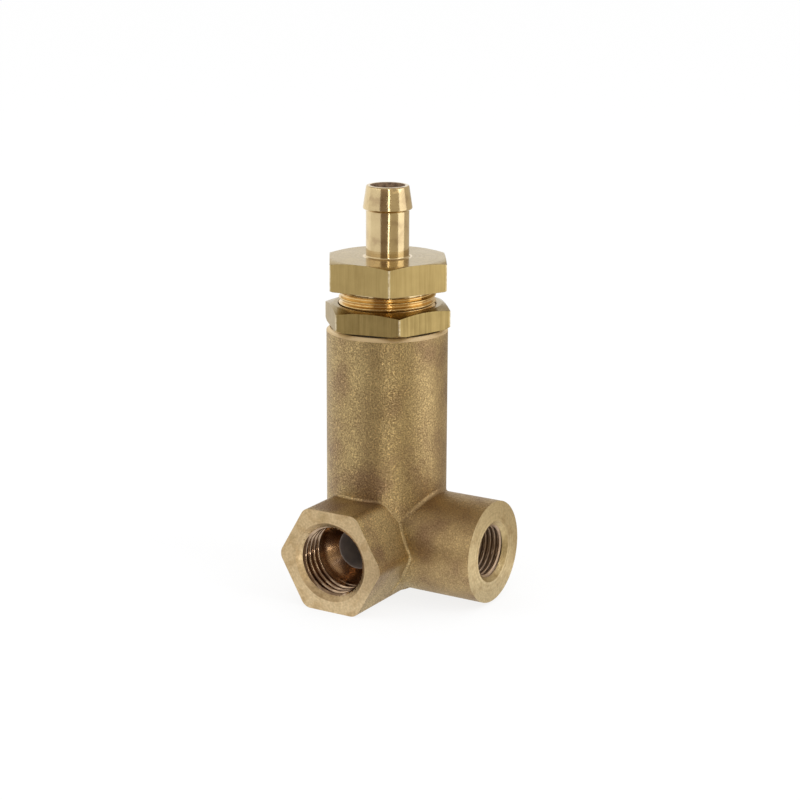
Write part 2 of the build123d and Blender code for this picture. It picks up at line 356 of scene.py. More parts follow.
def inlet_foot(p):
    return near(off_inlet(p), inlet_open) and near(p.y, inlet_face + inlet_sink)


def outlet_foot(p):
    return near(off_outlet(p), outlet_open) and near(p.x, outlet_face - outlet_sink)


found = edit_points(casting, inlet_foot)
bpy.ops.transform.translate(value=(0, inlet_crest - inlet_open, 0))
found += edit_points(casting, outlet_foot)
bpy.ops.transform.translate(value=(outlet_open - outlet_crest, 0, 0))
smooth_again(casting)
print("countersink points:", found)

# %% [markdown]
# ## Cast creases
#
# In sand no two walls meet at a sharp inner corner: a small hollow runs along each crease, and in the photo
# it catches the light as a pale line. A bevel on the merged mesh tangles, because long thin triangles end
# there. So each hollow is its own strip: the surface that a ball leaves when it rolls along the crease and
# touches both walls. One runs round the hexagonal boss. The other runs between tower and round boss, where
# the CAD has a fillet of its own over the top, so that strip shows only at its lower end at the back.

# %% Path of the rolling ball
tower_r, outlet_r, flat_r, corner_r = 10.6 * MM, 9.0 * MM, 9.0 * MM, 2.0 * MM
boss_ball, saddle_ball = 0.5 * MM, 0.55 * MM
first_flat, path_step, lowest_spot = 4.2 * MM, 0.35 * MM, 1.2 * MM


def boss_outline():
    """Points and outward normals round the hexagonal boss, from its upper left flat down its right side."""
    turns = []
    for corner in (120, 60, 0, -60):
        centre_r = (flat_r - corner_r) / cos(radians(30))
        centre = centre_r * Vector((cos(radians(corner)), 0, sin(radians(corner))))
        for angle in range(corner + 30, corner - 31, -10):
            normal = Vector((cos(radians(angle)), 0, sin(radians(angle))))
            turns.append((centre + normal * corner_r + Vector((0, 0, inlet_z)), normal))
    first = turns[0][0] - first_flat * Vector((cos(radians(60)), 0, sin(radians(60))))
    turns.insert(0, (first, turns[0][1]))
    spots = []
    for (start, normal), (end, normal_end) in zip(turns, turns[1:]):
        steps = max(1, round((end - start).length / path_step))
        for i in range(steps):
            spots.append((start.lerp(end, i / steps), normal.lerp(normal_end, i / steps).normalized()))
    return spots


def rolling_ball(spot, normal, size):
    """Where the ball touches the boss, where it touches the tower or the round boss, and its centre."""
    centre = spot + normal * size
    on_tower = (tower_r + size) ** 2 - centre.x ** 2
    on_outlet = (outlet_r + size) ** 2 - (centre.z - outlet_z) ** 2
    if centre.x < 0:
        on_outlet = 0
    centre.y = -sqrt(max(on_tower, on_outlet, 0))
    if on_tower >= on_outlet:
        axis_point, wall_r = Vector((0, 0, centre.z)), tower_r
    else:
        axis_point, wall_r = Vector((centre.x, 0, outlet_z)), outlet_r
    touch = axis_point + (centre - axis_point).normalized() * wall_r
    return centre - normal * size, touch, centre


boss_path = [(spot, normal) for spot, normal in boss_outline() if spot.z > lowest_spot]
print("the ball rests at", len(boss_path), "places round the hexagonal boss")

# %% [markdown]
# A strip has one row of points for each place of the ball: an arc from one touching point to the other. A
# grid gives the rows their faces. Towards both ends the ball shrinks, so that a strip runs out in its crease
# instead of ending in a step.

# %% Crease strips
thin_end, fade_rows = 0.06, 9


def faded(ball, row, count):
    return ball * (thin_end + (1 - thin_end) * min(1, row / fade_rows, (count - 1 - row) / fade_rows))


def crease_strip(name, rows, across=6):
    """A strip whose rows are arcs about the ball's centre, from one touching point to the other."""
    bpy.ops.object.select_all(action="DESELECT")
    bpy.ops.mesh.primitive_grid_add(x_subdivisions=across, y_subdivisions=len(rows) - 1, size=MM)
    strip = bpy.context.object
    strip.name = name
    for row, (first, second, centre) in enumerate(rows):
        size = (first - centre).length
        for column in range(across + 1):
            towards = (first - centre).normalized().slerp((second - centre).normalized(), column / across)
            strip.data.vertices[row * (across + 1) + column].co = centre + towards * size
    strip.data.update()
    bpy.ops.object.shade_smooth()
    face = strip.data.polygons[len(strip.data.polygons) // 2]
    if face.normal.dot(rows[len(rows) // 2][2] - face.center) < 0:
        flip_faces(strip)
    print(name, "has", len(rows), "rows")
    return strip


boss_rows = []
for i, (spot, normal) in enumerate(boss_path):
    boss_rows.append(rolling_ball(spot, normal, faded(boss_ball, i, len(boss_path))))
boss_crease = crease_strip("boss_crease", boss_rows)

saddle_rows = []
saddle_angles = range(-76, 117, 4)
for i, angle in enumerate(saddle_angles):
    size = faded(saddle_ball, i, len(saddle_angles))
    side, rise = sin(radians(angle)), cos(radians(angle))
    centre = Vector((0, (outlet_r + size) * side, outlet_z + (outlet_r + size) * rise))
    centre.x = sqrt((tower_r + size) ** 2 - centre.y ** 2)
    on_tower = Vector((0, 0, centre.z)) + Vector((centre.x, centre.y, 0)).normalized() * tower_r
    on_outlet = Vector((centre.x, outlet_r * side, outlet_z + outlet_r * rise))
    saddle_rows.append((on_tower, on_outlet, centre))
saddle_crease = crease_strip("saddle_crease", saddle_rows)

# %% [markdown]
# ## Adjusting screw
#
# The screw's CAD shank is a plain cylinder at the thread's outer diameter. It would hide the thread, so in a
# copy it shrinks to just under the thread's root, and the threaded sleeve goes round it.

# %% Slim the shank
screw = take_copy("drain_adjuster", "screw_blank")
under_root, head_clear = 0.03 * MM, 0.1 * MM


def on_shank(p):
    return near(sqrt(p.x ** 2 + p.y ** 2), screw_crest) and p.z < head_foot - head_clear


found = edit_points(screw, on_shank)
slim = (screw_root - under_root) / screw_crest
bpy.ops.transform.resize(value=(slim, slim, 1), center_override=(0, 0, 0))
smooth_again(screw)
print("shank points:", found)

# %% [markdown]
# ## Spring
#
# The spring's foot stands on the poppet, which lifts, and its head bears on the plate, which the screw
# pushes. No one joint joins those two. So the spring is cut in two at half height, into a lower and an upper
# half.

# %% Spring halves
spring_low, spring_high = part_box("relief_spring")
half_way = Vector((0, 0, (spring_low.z + spring_high.z) / 2))
spring_halves = []
for name, side in (("spring_lower", 1), ("spring_upper", -1)):
    half = take_copy("relief_spring", name)
    bpy.ops.object.mode_set(mode="EDIT")
    bpy.ops.mesh.select_all(action="SELECT")
    bpy.ops.mesh.bisect(plane_co=half_way, plane_no=(0, 0, side), use_fill=True, clear_outer=True)
    bpy.ops.object.mode_set(mode="OBJECT")
    smooth_again(half)
    spring_halves.append(half)
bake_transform(spring_halves[0])
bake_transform(spring_halves[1])
print("spring from", round(spring_low.z / MM, 2), "to", round(spring_high.z / MM, 2), "mm")

# %% [markdown]
# ## Materials
#
# All the brass here is one alloy with different skins. Sand leaves grains on a casting, a lathe leaves rings,
# and drawn hexagonal bar keeps straight lines along its length. Pictures could give those marks, but noise
# textures have no seams. Each skin is a metal shader with its marks in colour, roughness and bump, on Object
# coordinates, so they stay on the piece from every side.


# %% Node helpers
def new_material(name):
    material = bpy.data.materials.new(name)
    material.use_nodes = True
    return material, material.node_tree, material.node_tree.nodes["Principled BSDF"]


def link(tree, value, socket):
    if isinstance(value, bpy.types.NodeSocket):
        tree.links.new(value, socket)
    else:
        socket.default_value = value


def node(tree, kind, inputs=None, **settings):
    made = tree.nodes.new(kind)
    for key, value in settings.items():
        setattr(made, key, value)
    for key, value in (inputs or {}).items():
        link(tree, value, made.inputs[key])
    return made


def coordinates(tree):
    """The place on the piece, its three parts, and how far the face looks up."""
    made = node(tree, "ShaderNodeTexCoord")
    parts = node(tree, "ShaderNodeSeparateXYZ", {"Vector": made.outputs["Object"]}).outputs
    slope = node(tree, "ShaderNodeSeparateXYZ", {"Vector": made.outputs["Normal"]}).outputs["Z"]
    return made.outputs["Object"], parts["X"], parts["Y"], parts["Z"], slope


def raise_bump(tree, shader, depth, height, **more):
    bump = node(tree, "ShaderNodeBump", {"Strength": 1.0, "Distance": depth, "Height": height, **more})
    link(tree, bump.outputs["Normal"], shader.inputs["Normal"])


# %% Node arithmetic
def maths(tree, operation, *values):
    made = node(tree, "ShaderNodeMath", operation=operation)
    for socket, value in zip(made.inputs, values):
        link(tree, value, socket)
    return made.outputs["Value"]


def plus(tree, first, second):
    return maths(tree, "ADD", first, second)


def times(tree, first, second):
    """A product. Of two masks it is the area where both hold."""
    return maths(tree, "MULTIPLY", first, second)


def below(tree, value, limit):
    return maths(tree, "LESS_THAN", value, limit)


def above(tree, value, limit):
    return maths(tree, "GREATER_THAN", value, limit)


def largest(tree, *values):
    value = values[0]
    for other in values[1:]:
        value = maths(tree, "MAXIMUM", value, other)
    return value


def distance(tree, a, b, a_centre=0.0, b_centre=0.0):
    a = maths(tree, "SUBTRACT", a, a_centre)
    b = maths(tree, "SUBTRACT", b, b_centre)
    return maths(tree, "SQRT", plus(tree, times(tree, a, a), times(tree, b, b)))


def mix_value(tree, share, first, second):
    made = node(tree, "ShaderNodeMix", data_type="FLOAT")
    for index, value in ((0, share), (2, first), (3, second)):
        link(tree, value, made.inputs[index])
    return made.outputs[0]


# %% [markdown]
# Noise says where a mark is, and a ramp or a range says what it does there. Its scale counts cells to the
# metre, so 4000 gives grains of about a quarter of a millimetre. Most of its values lie between 0.3 and 0.7,
# so `tint` and `follow` use that stretch.

# %% Noise and colour helpers
usual_low, usual_high = 0.3, 0.7


def grain(tree, place, scale, detail=3.0):
    made = node(tree, "ShaderNodeTexNoise", {"Vector": place, "Scale": scale, "Detail": detail})
    return made.outputs["Fac"]


def rings(tree, radius, scale, detail=3.0):
    made = node(tree, "ShaderNodeTexNoise", {"W": radius, "Scale": scale, "Detail": detail},
                noise_dimensions="1D")
    return made.outputs["Fac"]


def ramp(tree, value, *stops):
    made = node(tree, "ShaderNodeValToRGB", {"Fac": value})
    points = made.color_ramp.elements
    while len(points) < len(stops):
        points.new(0.5)
    for point, (position, colour) in zip(points, stops):
        point.position = position
        point.color = (*colour, 1)
    return made.outputs["Color"]


def tint(tree, noise, dark, light):
    return ramp(tree, noise, (usual_low, dark), (usual_high, light))


def spread(tree, value, low, high, to_low, to_high):
    made = node(tree, "ShaderNodeMapRange", {"Value": value, "From Min": low, "From Max": high,
                                             "To Min": to_low, "To Max": to_high})
    return made.outputs["Result"]


def follow(tree, noise, at_low, at_high):
    return spread(tree, noise, usual_low, usual_high, at_low, at_high)


def mix_colour(tree, share, first, second, mode="MIX"):
    made = node(tree, "ShaderNodeMix", data_type="RGBA", blend_type=mode)
    for index, value in ((0, share), (6, first), (7, second)):
        link(tree, value, made.inputs[index])
    return made.outputs[2]


def shade(tree, colour, by, share=1.0):
    return mix_colour(tree, share, colour, by, "MULTIPLY")


# %% [markdown]
# ### Cast brass
#
# Sand leaves a casting dull, with grains and brown stains. The tiny bright points on the grains are painted
# glints. A few places are darker: the one in the crease between the two bosses and the one on the hexagonal
# boss's top flat are painted shade, and the other three are stains. The round boss is browner, with fewer
# painted glints than the rest. Grains, stains and glints come from noise of three sizes. The darker places
# are soft spots, with place and reach in millimetres.

# %% Sand-cast skin
# Darker spots: the one in the crease between the two bosses and the one on the hexagonal boss's top flat are
# painted shade; the other three are stains.
stain_and_shade_spots = (((2.3, -10.3, 21.0), 6.0), ((-3.2, -10.1, 37.0), 4.5), ((12.0, -8.6, 11.5), 4.0),
                 ((-1.0, -15.0, 18.0), 5.0), ((8.9, -16.7, 11.5), 1.8))
stain_and_shade_share, boss_glint = 0.24, 0.55
boss_from, boss_to = 8 * MM, 12 * MM


def near_spot(tree, place, spot, reach):
    """One at a place on the surface, falling softly to zero at the reach."""
    spot = [value * MM for value in spot]
    away = node(tree, "ShaderNodeVectorMath", {0: place, 1: spot}, operation="DISTANCE").outputs["Value"]
    made = node(tree, "ShaderNodeMapRange", {"Value": away, "From Min": reach * MM, "From Max": 0.0},
                interpolation_type="SMOOTHSTEP")
    return made.outputs["Result"]


def any_spot(tree, place, spots):
    return largest(tree, *[near_spot(tree, place, spot, reach) for spot, reach in spots])


def cast_skin(tree, place, x):
    """Colour, roughness and height of the sand-cast skin, with painted glints and two spots of painted shade.
    """
    sand = grain(tree, place, 4000, 2)
    lumps = grain(tree, place, 1400, 2)
    # Darkening by the spots above: painted shade in two of them, stains in the rest.
    stain_and_shade_darkening = times(tree, any_spot(tree, place, stain_and_shade_spots), stain_and_shade_share)
    stain_and_shade_tone = maths(tree, "SUBTRACT", grain(tree, place, 170, 3), stain_and_shade_darkening)
    colour = ramp(tree, stain_and_shade_tone, (0.26, (0.33, 0.225, 0.127)), (0.5, (0.458, 0.342, 0.175)),
                  (0.7, (0.525, 0.404, 0.206)))
    # Painted glints: the brightest grains are made brighter than the brass's own colour.
    points = ramp(tree, sand, (0.36, (0.64, 0.62, 0.60)), (0.5, (0.92, 0.92, 0.91)),
                  (0.6, (1.1, 1.09, 1.05)), (0.68, (1.6, 1.57, 1.44)))
    on_boss = spread(tree, x, boss_from, boss_to, 0.0, 1.0)
    colour = shade(tree, colour, points, spread(tree, on_boss, 0.0, 1.0, 1.0, boss_glint))
    browner = ramp(tree, stain_and_shade_tone, (0.3, (0.88, 0.84, 0.83)), (0.7, (0.97, 0.93, 0.92)))
    colour = mix_colour(tree, on_boss, colour, shade(tree, colour, browner))
    rough = spread(tree, sand, 0.35, 0.68, 0.56, 0.36)
    height = plus(tree, sand, times(tree, lumps, 1.2))
    return colour, rough, height


# %% [markdown]
# After casting, the two port faces, the tower's rim and everything inside the bores were machined. One
# material covers the whole casting, so that no seam shows, and masks from the coordinates find those areas. A
# mask is one inside its area and zero outside. `deep` is the wall behind the inlet's countersink, and
# `narrow` is the two passages behind the threads.

# %% Masks of the machined areas
hair, rim_height = 0.02 * MM, 0.61 * MM
port_end, deep_from, inlet_bore_r = 2 * MM, 1.2 * MM, 6.9 * MM
tower_bore_r, tower_floor = 8.7 * MM, 12 * MM
inlet_passage_r, outlet_passage_r = 3.6 * MM, 2.6 * MM


def machined_areas(tree, x, y, z):
    """Masks by name, and the distances from the axes of the three bores."""
    off = {"inlet": distance(tree, x, z, 0.0, inlet_z), "outlet": distance(tree, y, z, 0.0, outlet_z),
           "tower": distance(tree, x, y)}
    in_inlet = times(tree, below(tree, off["inlet"], inlet_mouth + hair), below(tree, y, -port_end))
    in_outlet = times(tree, below(tree, off["outlet"], outlet_mouth + hair), above(tree, x, port_end))
    in_tower = times(tree, below(tree, off["tower"], tower_bore_r), above(tree, z, tower_floor))
    mask = {"inlet": largest(tree, below(tree, y, inlet_face + hair), in_inlet),
            "outlet": largest(tree, above(tree, x, outlet_face - hair), in_outlet),
            "rim": above(tree, z, tower_top - rim_height)}
    mask["all"] = largest(tree, mask["inlet"], mask["outlet"], mask["rim"], in_tower)
    behind_sink = times(tree, below(tree, off["inlet"], inlet_bore_r), above(tree, y, inlet_face + deep_from))
    mask["deep"] = times(tree, mask["inlet"], behind_sink)
    mask["narrow"] = largest(tree, times(tree, mask["inlet"], below(tree, off["inlet"], inlet_passage_r)),
                             times(tree, mask["outlet"], below(tree, off["outlet"], outlet_passage_r)))
    return mask, off


# %% [markdown]
# Machined faces carry lathe rings about their own axis, a fine speckle and a little tarnish. The rim is the
# brightest: it is machined, and its extra lightness is a painted sheen. The outlet's face has aged, and two
# small stains sit on the inlet's face. Behind the inlet's countersink, water has left the wall brown and
# smooth, and the narrow passages are dull with scale.

# %% Machined skin
stained_spots = (((-1.5, inlet_face / MM, 16.8), 1.7), ((-7.6, inlet_face / MM, 12.2), 1.2))
stain_share, scale_rough, scale_metal = 0.5, 0.7, 0.1


def machined_skin(tree, place, mask, off, cast_colour):
    """Colour and roughness of the machined areas, and their lathe rings."""
    off_port = mix_value(tree, mask["outlet"], off["tower"], off["outlet"])
    turning = rings(tree, mix_value(tree, mask["inlet"], off_port, off["inlet"]), 2400)
    tarnish = grain(tree, place, 420, 4)
    speckle = grain(tree, place, 2300, 2)
    dull = ramp(tree, tarnish, (0.34, (0.84, 0.79, 0.72)), (0.5, (1.0, 1.0, 1.0)))
    dull = shade(tree, dull, ramp(tree, speckle, (0.34, (0.86, 0.84, 0.81)), (0.66, (1.1, 1.1, 1.08))))
    colour = shade(tree, tint(tree, turning, (0.62, 0.475, 0.285), (0.69, 0.54, 0.33)), dull)
    stained = times(tree, any_spot(tree, place, stained_spots), stain_share)
    colour = mix_colour(tree, stained, colour, cast_colour)
    aged = shade(tree, tint(tree, turning, (0.47, 0.365, 0.195), (0.54, 0.425, 0.235)), dull)
    colour = mix_colour(tree, mask["outlet"], colour, aged)
    # The rim is machined; its extra lightness is a painted sheen.
    rim = tint(tree, turning, (0.78, 0.62, 0.38), (0.88, 0.72, 0.46))
    colour = mix_colour(tree, mask["rim"], colour, rim)
    water = ramp(tree, grain(tree, place, 350, 3), (0.35, (0.24, 0.155, 0.105)), (0.65, (0.52, 0.33, 0.18)))
    colour = mix_colour(tree, mask["deep"], colour, water)
    scale = tint(tree, tarnish, (0.30, 0.25, 0.22), (0.42, 0.35, 0.30))
    colour = mix_colour(tree, mask["narrow"], colour, scale)
    rough = mix_value(tree, mask["rim"], follow(tree, turning, 0.42, 0.34), follow(tree, turning, 0.6, 0.5))
    rough = mix_value(tree, mask["deep"], rough, follow(tree, turning, 0.22, 0.15))
    rough = largest(tree, rough, times(tree, mask["narrow"], scale_rough))
    return colour, rough, turning


# %% Cast brass
cast_bump, ring_share = 0.048 * MM, 0.1


def make_cast_brass():
    material, tree, shader = new_material("cast_brass")
    place, x, y, z, _ = coordinates(tree)
    mask, off = machined_areas(tree, x, y, z)
    cast_colour, cast_rough, cast_height = cast_skin(tree, place, x)
    cut_colour, cut_rough, turning = machined_skin(tree, place, mask, off, cast_colour)
    link(tree, mix_colour(tree, mask["all"], cast_colour, cut_colour), shader.inputs["Base Color"])
    link(tree, mix_value(tree, mask["all"], cast_rough, cut_rough), shader.inputs["Roughness"])
    link(tree, spread(tree, mask["narrow"], 0.0, 1.0, 1.0, scale_metal), shader.inputs["Metallic"])
    height = mix_value(tree, mask["all"], cast_height, times(tree, turning, ring_share))
    raise_bump(tree, shader, cast_bump, height)
    return material


cast_brass = make_cast_brass()
print("cast brass is made of", len(cast_brass.node_tree.nodes), "shader nodes")

# %% [markdown]
# ### Drawn bar and turned brass
#
# The hose stem is bright from the lathe, with fine rings up its length. The hexagonal head and the nut are
# duller: their flats are the skin of drawn bar, with lines along it. Their corners are worn, and a bright
# colour there paints a highlight line along each corner. A Bevel node rounds those corners in the light
# alone, because a real bevel would change the CAD's edges.

# %% Bar skin
corner_from, corner_to, faced_from = 11.4 * MM, 11.54 * MM, 0.2
worn_corner_r, worn_corner_samples = 0.16 * MM, 6
along_bar = (1.0, 1.0, 0.04)


def bar_skin(tree, place, slope, radius, dark, light):
    """Colour, roughness and height of drawn hexagonal bar, with lathe rings where a face looks up and a
    painted highlight on worn corners.
    """
    drawn = node(tree, "ShaderNodeMapping", {"Vector": place, "Scale": along_bar}).outputs["Vector"]
    lines = grain(tree, drawn, 5200, 2)
    streaks = grain(tree, drawn, 1500, 2)
    wear = grain(tree, place, 350, 3)
    faced = above(tree, maths(tree, "ABSOLUTE", slope), faced_from)
    turning = rings(tree, radius, 2600)
    tone = plus(tree, times(tree, streaks, 0.45), times(tree, lines, 0.25))
    tone = plus(tree, tone, times(tree, wear, 0.3))
    colour = ramp(tree, tone, (0.36, dark), (0.62, light))
    corner = spread(tree, radius, corner_from, corner_to, 0.0, 1.0)
    corner = times(tree, corner, maths(tree, "SUBTRACT", 1.0, faced))
    # Worn corners, whose bright colour also paints a highlight line along each one.
    rubbed_and_highlight = ramp(tree, grain(tree, place, 1500, 2), (0.38, (0.66, 0.54, 0.31)), (0.6, (0.96, 0.87, 0.65)))
    colour = mix_colour(tree, corner, colour, rubbed_and_highlight)
    rough = mix_value(tree, faced, follow(tree, lines, 0.42, 0.32), follow(tree, turning, 0.24, 0.19))
    height = mix_value(tree, faced, lines, times(tree, turning, 0.35))
    return colour, rough, height


def finish_bar(tree, shader, depth, height):
    """Bump on top of corners that are a little rounded by handling."""
    worn = node(tree, "ShaderNodeBevel", {"Radius": worn_corner_r}, samples=worn_corner_samples)
    raise_bump(tree, shader, depth, height, Normal=worn.outputs["Normal"])


# %% [markdown]
# The screw is one piece of turned brass with a head of bar skin. A mask by distance from the axis and by
# height keeps the two apart. Inside the drain, water has left dark scale.

# %% Turned brass
head_from_r, drain_r, head_slack = 4.3 * MM, 3.05 * MM, 0.05 * MM
head_bar_dark, head_bar_light, head_bump = (0.40, 0.293, 0.12), (0.50, 0.378, 0.163), 0.004 * MM


def make_turned_brass():
    material, tree, shader = new_material("turned_brass")
    place, x, y, z, slope = coordinates(tree)
    radius = distance(tree, x, y)
    at_head = times(tree, above(tree, z, head_foot - head_slack), below(tree, z, head_top + head_slack))
    on_head = times(tree, above(tree, radius, head_from_r), at_head)
    in_bore = below(tree, radius, drain_r)
    turning = rings(tree, z, 3000)
    wear = grain(tree, place, 420, 4)
    colour = ramp(tree, wear, (0.32, (0.58, 0.44, 0.255)), (0.47, (0.72, 0.57, 0.33)),
                  (0.7, (0.79, 0.64, 0.375)))
    bar_colour, bar_rough, bar_height = bar_skin(tree, place, slope, radius, head_bar_dark, head_bar_light)
    scale = ramp(tree, grain(tree, place, 1500, 3), (0.32, (0.14, 0.085, 0.05)), (0.68, (0.36, 0.235, 0.14)))
    colour = mix_colour(tree, in_bore, mix_colour(tree, on_head, colour, bar_colour), scale)
    link(tree, colour, shader.inputs["Base Color"])
    rough = mix_value(tree, on_head, follow(tree, turning, 0.17, 0.11), bar_rough)
    link(tree, largest(tree, rough, times(tree, in_bore, scale_rough)), shader.inputs["Roughness"])
    link(tree, spread(tree, in_bore, 0.0, 1.0, 1.0, scale_metal), shader.inputs["Metallic"])
    finish_bar(tree, shader, head_bump, mix_value(tree, on_head, times(tree, turning, 0.6), bar_height))
    return material


turned_brass = make_turned_brass()
print("turned brass is made of", len(turned_brass.node_tree.nodes), "shader nodes")

# %% [markdown]
# The nut is bar skin all over. It is darker than the head, with stronger lines.

# %% Nut brass
nut_bar_dark, nut_bar_light, nut_bump = (0.285, 0.208, 0.08), (0.435, 0.323, 0.134), 0.006 * MM


def make_nut_brass():
    material, tree, shader = new_material("nut_brass")
    place, x, y, _, slope = coordinates(tree)
    radius = distance(tree, x, y)
    colour, rough, height = bar_skin(tree, place, slope, radius, nut_bar_dark, nut_bar_light)
    link(tree, colour, shader.inputs["Base Color"])
    link(tree, rough, shader.inputs["Roughness"])
    finish_bar(tree, shader, nut_bump, height)
    shader.inputs["Metallic"].default_value = 1.0
    return material


nut_brass = make_nut_brass()
print("nut brass is made of", len(nut_brass.node_tree.nodes), "shader nodes")

# %% [markdown]
# ### Threads, spring and seals
#
# The screw's thread is the brightest brass, because nothing has touched it since the tool. The inlet's thread
# is stained by water but still smooth enough to glint, and the outlet's is duller. The spring is drawn
# stainless wire. The seals are moulded rubber and almost black. The nut's seal shows only as a thin dark line
# under the nut, where it stands in for the shadow in the gap between nut and rim. One noise in colour,
# roughness and bump is enough for each of them.


# %% Thread brass, wire and rubber
def make_plain(name, dark, light, roughness, scale, depth, metal=1.0):
    material, tree, shader = new_material(name)
    marks = grain(tree, coordinates(tree)[0], scale, 3)
    smoothest, roughest = roughness
    link(tree, tint(tree, marks, dark, light), shader.inputs["Base Color"])
    link(tree, follow(tree, marks, roughest, smoothest), shader.inputs["Roughness"])
    raise_bump(tree, shader, depth, marks)
    shader.inputs["Metallic"].default_value = metal
    print(name, "is ready")
    return material


screw_brass = make_plain("screw_brass", (0.72, 0.51, 0.235), (0.86, 0.63, 0.31),
                         roughness=(0.14, 0.24), scale=1200, depth=0.004 * MM)
thread_brass = make_plain("thread_brass", (0.29, 0.205, 0.145), (0.50, 0.365, 0.245),
                          roughness=(0.07, 0.13), scale=700, depth=0.006 * MM)
outlet_brass = make_plain("outlet_brass", (0.34, 0.245, 0.175), (0.50, 0.37, 0.26),
                          roughness=(0.32, 0.5), scale=700, depth=0.006 * MM)
spring_wire = make_plain("spring_wire", (0.5, 0.5, 0.5), (0.62, 0.62, 0.61),
                         roughness=(0.2, 0.34), scale=1500, depth=0.004 * MM)
# Almost black rubber; on the nut's seal its dark edge paints the shadow line under the nut.
seal_rubber = make_plain("seal_rubber", (0.012, 0.012, 0.012), (0.022, 0.021, 0.02),
                         roughness=(0.5, 0.7), scale=2500, depth=0.01 * MM, metal=0.0)

# %% [markdown]
# ## Dressing the pieces
#
# Each piece gets its material. A new piece on the body or the screw is also attached to that body, so that it
# moves with the joints. The copies take the place of their CAD nodes; the nut, the seals, the plate and the
# poppet keep the shapes that they came with.


# %% Dress the pieces
def dress(piece, material, body=None):
    piece.data.materials.clear()
    piece.data.materials.append(material)
    if body:
        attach(piece, body)


dress(casting, cast_brass, "valve_body")
dress(boss_crease, cast_brass, "valve_body")
dress(saddle_crease, cast_brass, "valve_body")
dress(inlet_thread, thread_brass, "valve_body")
dress(outlet_thread, outlet_brass, "valve_body")
dress(screw, turned_brass, "drain_adjuster")
dress(screw_thread, screw_brass, "drain_adjuster")
for half in spring_halves:
    dress(half, spring_wire)
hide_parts("valve_body")
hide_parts("drain_adjuster")
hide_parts("relief_spring")
# The nut's seal shows only as a dark line under the nut, a painted shadow line.
plain_nodes = {"lock_nut": nut_brass, "spring_plate": turned_brass, "poppet": turned_brass,
               "lock_nut_seal": seal_rubber, "poppet_seal": seal_rubber}
for name, material in plain_nodes.items():
    dress(nodes[name], material)
print("CAD nodes shown in their own shape:", sorted(plain_nodes))

# %% [markdown]
# ## Studio
#
# The photo was taken against white paper. The camera stands where lines fitted to the photo put it, a little
# to the right of the inlet and above it, with a small roll.

# %% Camera
view_az, view_el, view_roll = radians(30.89), radians(14.747), radians(0.291)
aim_height, aim_side, camera_reach = 33.685 * MM, 2.287 * MM, 365.53 * MM
back = Vector((sin(view_az) * cos(view_el), -cos(view_az) * cos(view_el), sin(view_el)))
right = Vector((cos(view_az), sin(view_az), 0))
up = back.cross(right)
camera_x = cos(view_roll) * right + sin(view_roll) * up
camera_y = cos(view_roll) * up - sin(view_roll) * right
stand = Vector((0, 0, aim_height)) + right * aim_side + back * camera_reach
lens = bpy.data.cameras.new("photo_camera")
lens.sensor_width = 36
lens.lens = 93.55
lens.clip_start = 0.01
camera = bpy.data.objects.new("photo_camera", lens)
bpy.context.scene.collection.objects.link(camera)
turn = Matrix((camera_x, camera_y, back)).transposed().to_4x4()
camera.matrix_world = Matrix.Translation(stand) @ turn
bpy.context.scene.camera = camera
print("camera at", [round(value, 3) for value in stand])

# %% [markdown]
# The world is a plain white light. The floor is a sheet of paper that keeps the valve's shadow. Lit alone,
# the paper would be grey in the picture, so to the camera it is mostly a white glow. In reflections it glows
# less, or the undersides of the brass would be too pale.

# %% White world and floor
world = bpy.data.worlds.new("studio")
bpy.context.scene.world = world
world.use_nodes = True
tree = world.node_tree
tree.nodes.clear()
white = node(tree, "ShaderNodeBackground", {"Color": (1, 1, 1, 1), "Strength": 1.0})
node(tree, "ShaderNodeOutputWorld", {"Surface": white.outputs[0]})

floor_size, camera_glow, reflected_glow = 12.0, 0.82, 0.55
bpy.ops.object.select_all(action="DESELECT")
bpy.ops.mesh.primitive_plane_add(size=floor_size)
floor = bpy.context.object
floor.name = "floor"
paper, tree, shader = new_material("paper")
tree.nodes.remove(shader)
sheet = node(tree, "ShaderNodeBsdfDiffuse", {"Color": (0.97, 0.97, 0.97, 1)})
glow = node(tree, "ShaderNodeEmission", {"Color": (1, 1, 1, 1), "Strength": 1.0})
path = node(tree, "ShaderNodeLightPath").outputs
share = largest(tree, times(tree, path["Is Camera Ray"], camera_glow),
                times(tree, path["Is Glossy Ray"], reflected_glow))
both = node(tree, "ShaderNodeMixShader", {0: share, 1: sheet.outputs[0], 2: glow.outputs[0]})
tree.links.new(both.outputs[0], tree.nodes["Material Output"].inputs["Surface"])
dress(floor, paper)
print("floor is", floor_size, "m wide")

# %% [markdown]
# Bright metal shows its surroundings more than its own colour. The bands on the photo's hose stem tell what
# stood round the valve: something dark to the left of the camera, a slit of light beside it, a dimmer zone on
# the right, and little light from above. Cards give the same bands. Each is a part of a ring on the floor
# with a wall behind it, and most walls have a lighter band a little above half height. One narrow bright arc
# lies close to the inlet and puts the beads of light on its thread. Only reflections see the cards.

# %% Card maker
band_height, band_half, card_steps = 0.19, 0.027, 24


def finish_card(made, colour, strength, lift):
    material, tree, shader = new_material(made.name)
    tree.nodes.remove(shader)
    band = maths(tree, "COMPARE", coordinates(tree)[3], band_height, band_half)
    glow = spread(tree, band, 0.0, 1.0, strength, strength * lift)
    face = node(tree, "ShaderNodeEmission", {"Color": (*colour, 1), "Strength": glow})
    tree.links.new(face.outputs[0], tree.nodes["Material Output"].inputs["Surface"])
    dress(made, material)
    made.visible_camera = False
    made.visible_diffuse = False
    made.visible_shadow = False
    made.visible_transmission = False
    print(made.name, "glows at", strength)


